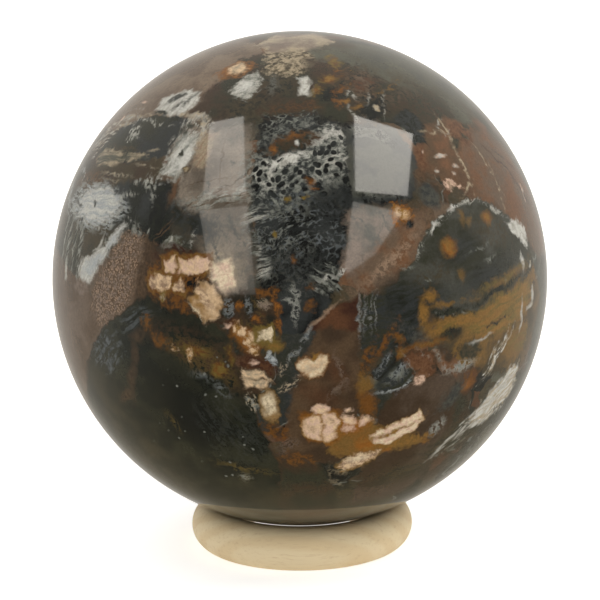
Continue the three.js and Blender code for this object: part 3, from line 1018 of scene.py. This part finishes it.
def cream_chain(lay):
    """The chain of cream fragments below."""
    lay("rust/orange", Oval((-16, 3), (-9, -1.6), 3.4), edge=0.8, ragged=1.6)
    lay("umber/brass", Oval((-8, 1.5), (-4, -1), 3), edge=0.8, ragged=1.6)
    lay("cream/gold", Oval((-15.2, 3.4), (-12.4, 1.2), 1.9), Oval((-12.2, 1.4), (-10.2, -0.8), 1.8),
        Oval((-10.6, -1), (-9.6, -2.4), 1.3), edge=0.5, ragged=0.9)
    lay("pink", dot((-17, 3.6), 1.4, 0.9), dot((-10, -4.4), 1.4, 0.8), ragged=0.4)
    lay("ivory/beige", Chip((-10, 0.4), (-9.6, 2.6), (-6.8, 3.2), (-6.2, 0.2)), rim=("brass", 0.7),
        ragged=0.8)
    lay("brass/gold", Oval((-8, -0.9), (-3.6, -0.9), 1.5), edge=0.5, ragged=1.2)
    lay("ice/steel", Oval((-7.2, -2.4), (-5, -5.6), 1.5), ragged=0.9)
    lay("cream/beige", Chip((-12.4, -6), (-9.8, -6.6), (-7, -9.6), (-8.6, -11), (-12.6, -10.6)),
        rim=("umber", 0.5), edge=0.6, ragged=1.1)
    lay("umber", Oval((-11.4, -8.6), (-8.4, -9.4), 0.4), Oval((-12.8, -11.5), (-7.5, -12), 0.9), edge=0.4,
        ragged=0.8)
    lay("beige/grey", Oval((-12.2, -12.4), (-10.6, -17), 2.3),
        cover=wisps((-12, -12), (-10, -17), fineness=1.6, stretch=2), edge=0.5, ragged=1)
    lay("beige/ivory", Oval((-7.6, -12.2), (-6.4, -18.6), 3.3), rim=("ochre", 0.5), edge=0.6, ragged=0.8)
    lay("gold", dot((-6.4, -18.2), 1.8), edge=0.9, strength=0.8)
    lay("rose/beige", Oval((-5, -12), (-0.6, -8.5), 2.2), Oval((-2, -9), (0.4, -7), 2),
        Oval((-4.6, -8), (-3.2, -4.5), 1.6),
        cover=both(speckle, wisps((-5, -12), (0, -7), fineness=1.6, stretch=2)), ragged=1.4)
    lay("ivory/cream", Chip((0, -3.6), (5.6, -3), (6.2, -4.8), (3.8, -8), (2, -7.8), (0, -5.4)),
        rim=("rust", 0.5), edge=0.6, ragged=0.7)
    lay("sand", Oval((1, -6.5), (4.4, -5), 1), edge=0.8, ragged=1, strength=0.6)
    lay("gold", dot((3.4, -2.9), 1.4, 0.9), edge=0.4)


def cream_cluster(lay):
    """The large cluster of cream fragments low in the middle."""
    lay("orange/ochre",
        Chip((6, -18), (16, -19), (21, -22), (34, -25.5), (36, -28), (20, -30), (8, -30), (6, -26)),
        edge=0.7, ragged=1.6, field=cloud)
    lay("rust/orange", Chip((0, -17), (9, -16), (9, -26), (2, -25)), edge=0.7, ragged=0.8)
    lay("cream/pink",
        Chip((1, -19.4), (2.8, -17.6), (4.4, -18), (5, -21), (5.4, -24.8), (3, -24.2), (1, -22)),
        Chip((5, -17.2), (8, -17), (8.8, -20), (8.4, -24.6), (6, -25.2), (5.2, -21)), rim=("gold", 0.4),
        edge=0.5, ragged=0.6)
    lay("sand/cream", dot((6.6, -20), 1.6, 2.4), Oval((1.8, -20), (3.4, -22.5), 0.8), edge=0.7, ragged=0.9,
        strength=0.8)
    lay("pink/cream", dot((4.8, -15.4), 3.4, 3), Oval((9.4, -18.2), (13, -20.6), 2),
        dot((15.4, -20.3), 2.2, 1.5), dot((11, -16.5), 1), edge=0.5, ragged=0.8)
    lay("pink", Oval((10.2, -21.8), (13, -22), 1.4), edge=0.5, ragged=0.9, strength=0.8)
    lay("ivory/pink",
        Chip((17, -24.4), (22, -21.6), (29.6, -18.6), (31, -21), (29, -24.6), (22, -27), (18.6, -26.4)),
        rim=("gold", 0.3), edge=0.5, ragged=0.8)
    lay("gold/ochre", Oval((16.6, -25.6), (28, -22), 0.8), Oval((17, -28), (33, -27), 1.2), edge=0.4,
        ragged=0.8)
    lay("cream/sand", Chip((10, -32.4), (13, -29.8), (21, -29.2), (20.6, -30.6), (15, -34), (11, -35)),
        rim=("ochre", 0.6), edge=0.6, ragged=0.9)
    lay("ivory", Oval((11.6, -31.4), (17, -30.8), 1.4), edge=0.8, ragged=0.9, strength=0.8)
    lay("beige/olive", Oval((8, -34.4), (13.6, -36.4), 1.8), Oval((8, -38), (12.4, -40.4), 1.6),
        Oval((7.6, -33), (8.4, -38), 0.7), cover=speckle, ragged=1.4)
    lay("rust/umber", Oval((-9, -21), (-3.5, -23.4), 2.6), Oval((-5, -29.6), (3, -30.8), 2.6), edge=0.8,
        ragged=1.6)
    lay("rose/umber", Oval((-6, -26.5), (-0.6, -25), 2.8), Oval((-5.4, -28.8), (-3, -26), 1.6),
        cover=speckle, edge=0.6, ragged=1.6)


def shared_fields():
    """A node group for what all layers share: coordinates in millimetres, bent by noise, and noise itself."""
    tree = bpy.data.node_groups.new("stone_fields", "ShaderNodeTree")
    graph = Graph(tree)
    where = graph.scaled(graph.node("TexCoord").outputs["Object"], 1 / MM)
    bent = graph.bent(where, scale=0.16, amount=3.0)
    warped = graph.bent(where, scale=0.05, amount=30.0)
    shaken = graph.bent(where, scale=0.3, amount=4.5)
    fine = graph.noise(where, scale=2.2, detail=3, roughness=0.7)
    fields = {
        "bent": bent,
        "rough": graph.bent(bent, scale=0.55, amount=1.9),
        "torn": graph.vector("ADD", warped, graph.vector("SUBTRACT", shaken, where)),
        "cloud": graph.noise(bent, scale=0.14, detail=3, roughness=0.6),
        "grain": graph.noise(bent, scale=0.9, detail=4, roughness=0.65),
        "shade": graph.step(fine, 0.25, 0.75, low=0.68, high=0.96),
    }
    leaving = tree.nodes.new("NodeGroupOutput")
    for name, kind in (*Layer.FIELDS.items(), ("shade", "NodeSocketFloat")):
        tree.interface.new_socket(name, in_out="OUTPUT", socket_type=kind)
        graph.feed(leaving.inputs[name], fields[name])
    return tree


def stone_layers():
    stone = Stone()
    for paint in (loose_breccia, loose_chips, loose_plumes):
        paint(stone)
    for paint in (
        back, left_ground, outlined_fragment, blue_white_patch, climbing_plume, speckled_sand,
        dark_lower_left, golden_belt, top_ground, white_fragment, pale_ground, top_chips,
        dark_column, column_foot, upper_right, terracotta_ground, right_of_column,
        domed_fragment, golden_bands, red_brown_wedge, orange_veins, right_plumes,
        cream_chips, beside_column, cream_chain, cream_cluster,
    ):
        paint(stone.lay)
    return stone.layers


def stone_material(layers, fields_tree):
    material, graph = new_material("polished_breccia")
    fields = graph.node("Group", node_tree=fields_tree).outputs
    colour = STONE_COLOURS["black"]
    for layer in layers:
        step = graph.node("Group", node_tree=layer.tree)
        graph.fill_named(step, {name: fields[name] for name in Layer.FIELDS})
        graph.feed(step.inputs["colour"], colour)
        colour = step.outputs["colour"]
    shaded = graph.mix(1.0, colour, graph.grey(fields["shade"]), blend="MULTIPLY")
    surface = graph.fill_named(graph.node("BsdfPrincipled"), {
        "Base Color": shaded,
        "Roughness": graph.step(fields["grain"], 0.3, 0.8, low=0.04, high=0.1),
        "Specular IOR Level": 0.4,
    })
    graph.show(surface)
    return material


def icosphere(subdivisions, radius):
    mesh = bpy.data.meshes.new("stone_ball")
    shape = bmesh.new()
    bmesh.ops.create_icosphere(shape, subdivisions=subdivisions, radius=radius)
    shape.to_mesh(mesh)
    shape.free()
    return mesh


def sector_directions():
    """The middles of the ball's sectors, which lie round the corners of a coarse icosphere."""
    coarse = icosphere(SECTOR_SUBDIVISIONS, 1)
    directions = [vertex.co.normalized() for vertex in coarse.vertices]
    bpy.data.meshes.remove(coarse)
    return directions


def spread_materials(mesh):
    """Gives each sector's faces a material that holds only the layers that reach it.

    One material with every layer would be too long for Cycles, and slow.
    """
    sectors = sector_directions()
    centres = np.empty(len(mesh.polygons) * 3)
    mesh.polygons.foreach_get("center", centres)
    centres = centres.reshape(-1, 3)
    centres /= np.linalg.norm(centres, axis=1, keepdims=True)
    nearness = centres @ np.array(sectors).T
    sector_radius = math.acos(nearness.max(axis=1).min())
    layers, fields_tree = stone_layers(), shared_fields()
    for sector in sectors:
        reaching = [layer for layer in layers if layer.reaches(sector, sector_radius)]
        mesh.materials.append(stone_material(reaching, fields_tree))
    mesh.polygons.foreach_set("material_index", nearness.argmax(axis=1))


def make_ball():
    mesh = icosphere(BALL_SUBDIVISIONS, BALL_RADIUS)
    mesh.polygons.foreach_set("use_smooth", [True] * len(mesh.polygons))
    spread_materials(mesh)
    ball = link("stone_ball", mesh)
    ball.location = BALL_CENTRE
    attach(ball, "root")
    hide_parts("stone_sphere")


# ---------------------------------------------------------------- the wooden ring


def wood_material():
    """Bare pale wood. Its fibres and its yearly layers are drawn out along X."""
    material, graph = new_material("bare_turned_wood")
    pale, tan, dark = srgb(250, 231, 193), srgb(241, 217, 174), srgb(218, 189, 144)
    place = graph.scaled(graph.node("TexCoord").outputs["Object"], 1 / MM)
    drawn_out = graph.mapped(place, scale=(14, 1, 1))
    fibre = graph.noise(drawn_out, scale=1.6, detail=5, roughness=0.7)
    waver = graph.scaled(graph.noise(drawn_out, scale=0.12, output="Color"), factor=5.0)
    bent = graph.vector("ADD", place, waver)
    wave = graph.node("TexWave", wave_type="BANDS", bands_direction="DIAGONAL")
    layers = graph.mapped(bent, scale=(9, 1, 1))
    graph.fill_named(wave, {"Vector": layers, "Scale": 0.09, "Distortion": 2.0, "Detail": 2.0})
    layered = graph.mix(graph.step(wave.outputs["Fac"], 0.2, 0.9, high=0.7), pale, tan)
    surface_colour = graph.mix(graph.step(fibre, 0.5, 0.75, high=0.55), layered, dark)
    surface = graph.fill_named(graph.node("BsdfPrincipled"), {
        "Base Color": surface_colour,
        "Roughness": graph.step(fibre, 0.3, 0.8, low=0.5, high=0.68),
        "Specular IOR Level": 0.35,
    })
    bump = graph.fill_named(graph.node("Bump"), {"Strength": 0.35, "Distance": 0.2 * MM, "Height": fibre})
    graph.feed(surface.inputs["Normal"], bump.outputs[0])
    graph.show(surface)
    return material


def ring_section():
    """Points round the ring's section as (radius, height), starting and ending on the flat foot."""
    half_height = (RING_HIGH.z + RING_FOOT_TRIM) / 2
    middle_height = half_height - RING_FOOT_TRIM
    middle_radius = (RING_OUTER_RADIUS + RING_BORE_RADIUS) / 2
    half_width = (RING_OUTER_RADIUS - RING_BORE_RADIUS) / 2
    foot_angle = math.acos(middle_height / half_height)
    points = []
    for i in range(RING_SECTION_STEPS + 1):
        angle = foot_angle + i / RING_SECTION_STEPS * 2 * (math.pi - foot_angle)
        height = middle_height - half_height * math.cos(angle)
        points.append((middle_radius - half_width * math.sin(angle), max(height, 0)))
    return points


def make_ring():
    mesh = bpy.data.meshes.new("wood_ring")
    shape = bmesh.new()
    loops = []
    for i in range(RING_STEPS):
        turn = 2 * math.pi * i / RING_STEPS
        loops.append([
            shape.verts.new((radius * math.cos(turn), radius * math.sin(turn), height))
            for radius, height in ring_section()
        ])
    for loop, following in zip(loops, loops[1:] + loops[:1]):
        for i in range(len(loop)):
            after = (i + 1) % len(loop)
            shape.faces.new((loop[i], loop[after], following[after], following[i]))
    bmesh.ops.recalc_face_normals(shape, faces=shape.faces)
    shape.to_mesh(mesh)
    shape.free()
    mesh.polygons.foreach_set("use_smooth", [True] * len(mesh.polygons))
    mesh.materials.append(wood_material())
    ring = link("wood_ring", mesh)
    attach(ring, "root")
    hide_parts("wooden_ring")


# ---------------------------------------------------------------- the studio


def camera_axes(elevation):
    right = Vector((1, 0, 0))
    back = Vector((0, -math.cos(elevation), math.sin(elevation)))
    return right, back.cross(right), back


def make_camera():
    back = camera_axes(CAMERA_ELEVATION)[2]
    right, up, towards = camera_axes(CAMERA_ELEVATION + CAMERA_EXTRA_PITCH)
    cosine, sine = math.cos(CAMERA_ROLL), math.sin(CAMERA_ROLL)
    turned = Matrix((cosine * right - sine * up, sine * right + cosine * up, towards)).transposed()
    data = bpy.data.cameras.new("camera")
    data.lens = CAMERA_LENS_MM
    camera = link("camera", data)
    camera.matrix_world = Matrix.Translation(BALL_CENTRE + CAMERA_DISTANCE * back) @ turned.to_4x4()
    bpy.context.scene.camera = camera
    return camera


def make_floor():
    mesh = bpy.data.meshes.new("floor")
    half = FLOOR_HALF_WIDTH
    corners = [(-half, -half, 0), (half, -half, 0), (half, half, 0), (-half, half, 0)]
    mesh.from_pydata(corners, [], [range(len(corners))])
    material, graph = new_material("pale_floor")
    surface = graph.fill_named(graph.node("BsdfPrincipled"), {
        "Base Color": srgb(246, 246, 245),
        "Roughness": 0.9,
        "Specular IOR Level": 0.1,
        "Emission Color": WHITE,
    })
    seen = graph.node("LightPath").outputs["Is Camera Ray"]
    glow = graph.math("MULTIPLY_ADD", seen, FLOOR_EXTRA_GLOW_TO_CAMERA, FLOOR_GLOW)
    graph.feed(surface.inputs["Emission Strength"], glow)
    graph.show(surface)
    mesh.materials.append(material)
    floor = link("floor", mesh)
    floor.visible_glossy = False


def glow_material(strength):
    material, graph = new_material("softbox")
    glow = graph.node("Emission")
    fade = graph.node("Attribute", attribute_name="fade")
    faded = graph.math("MULTIPLY", fade.outputs["Fac"], strength)
    graph.show(graph.fill_named(glow, {"Color": WARM_WHITE, "Strength": faded}))
    return material


def make_softbox(name, camera, corners, strength, fade_to):
    """A glowing panel curved so that its reflection on the ball has straight sides between four corners.

    The corners are in ball radii from the ball's middle as the camera sees it: the upper left one,
    then on round clockwise. The glow falls to fade_to of its strength at the bottom.
    """
    across, up, back = camera_axes(CAMERA_ELEVATION)
    eye = camera.matrix_world.translation
    top_left, top_right, bottom_right, bottom_left = (Vector(corner) for corner in corners)
    steps = SOFTBOX_STEPS
    points, fades = [], []
    for j in range(steps + 1):
        left, right = bottom_left.lerp(top_left, j / steps), bottom_right.lerp(top_right, j / steps)
        for i in range(steps + 1):
            x, y = left.lerp(right, i / steps)
            outward = across * x + up * y + back * math.sqrt(1 - x * x - y * y)
            place = BALL_CENTRE + BALL_RADIUS * outward
            to_eye = (eye - place).normalized()
            mirrored = 2 * outward.dot(to_eye) * outward - to_eye
            points.append(place + SOFTBOX_DISTANCE * mirrored)
            fades.append(fade_to + (1 - fade_to) * j / steps)
    row = steps + 1
    faces = [
        (j * row + i, j * row + i + 1, (j + 1) * row + i + 1, (j + 1) * row + i)
        for j in range(steps)
        for i in range(steps)
    ]
    mesh = bpy.data.meshes.new(name)
    mesh.from_pydata(points, [], faces)
    mesh.attributes.new("fade", "FLOAT", "POINT").data.foreach_set("value", fades)
    mesh.materials.append(glow_material(strength))
    panel = link(name, mesh)
    panel.visible_camera = False


def make_sky():
    """White behind and above the ornament and dimmer on the camera's side. The camera sees plain white."""
    world = bpy.data.worlds.new("studio")
    world.use_nodes = True
    bpy.context.scene.world = world
    graph = Graph(world.node_tree)
    looking = graph.node("TexCoord").outputs["Generated"]
    _, depth, height = graph.fill(graph.node("SeparateXYZ"), looking).outputs
    behind = graph.step(depth, -0.7, 0.35, low=SKY_IN_FRONT, high=SKY_BEHIND)
    above = graph.step(height, -0.95, -0.2)
    part = graph.math("MULTIPLY_ADD", above, 1 - SKY_PART_AT_FOOT, SKY_PART_AT_FOOT)
    level = graph.math("MULTIPLY", behind, part)
    tint = graph.mix(above, srgb(226, 208, 170), WARM_WHITE)
    seen = graph.node("LightPath").outputs["Is Camera Ray"]
    strength = graph.fill(graph.node("Mix", data_type="FLOAT"), seen)
    graph.feed(strength.inputs[2], level)
    strength.inputs[3].default_value = 1.0
    glow = graph.node("Background")
    colour = graph.mix(seen, tint, WHITE)
    graph.show(graph.fill_named(glow, {"Color": colour, "Strength": strength.outputs[0]}), "OutputWorld")


# For each softbox: the corners of its reflection, its strength, and what part of that is left at the bottom.
SOFTBOXES = {
    "softbox_left_upper": (((-0.346, 0.61), (-0.213, 0.634), (-0.205, 0.327), (-0.37, 0.327)), 6.0, 0.6),
    "softbox_left_lower": (((-0.385, 0.265), (-0.2, 0.283), (-0.17, -0.06), (-0.335, -0.06)), 3.0, 0.45),
    "softbox_right_upper": (((0.217, 0.634), (0.447, 0.56), (0.42, 0.315), (0.217, 0.335)), 9.0, 0.8),
    "softbox_right_lower": (((0.207, 0.295), (0.40, 0.25), (0.292, 0.09), (0.17, 0.01)), 3.6, 0.6),
}

camera = make_camera()
make_sky()
make_floor()
for name, (corners, strength, fade_to) in SOFTBOXES.items():
    make_softbox(name, camera, corners, strength, fade_to)
make_ball()
make_ring()
bpy.context.scene.view_settings.view_transform = "Standard"
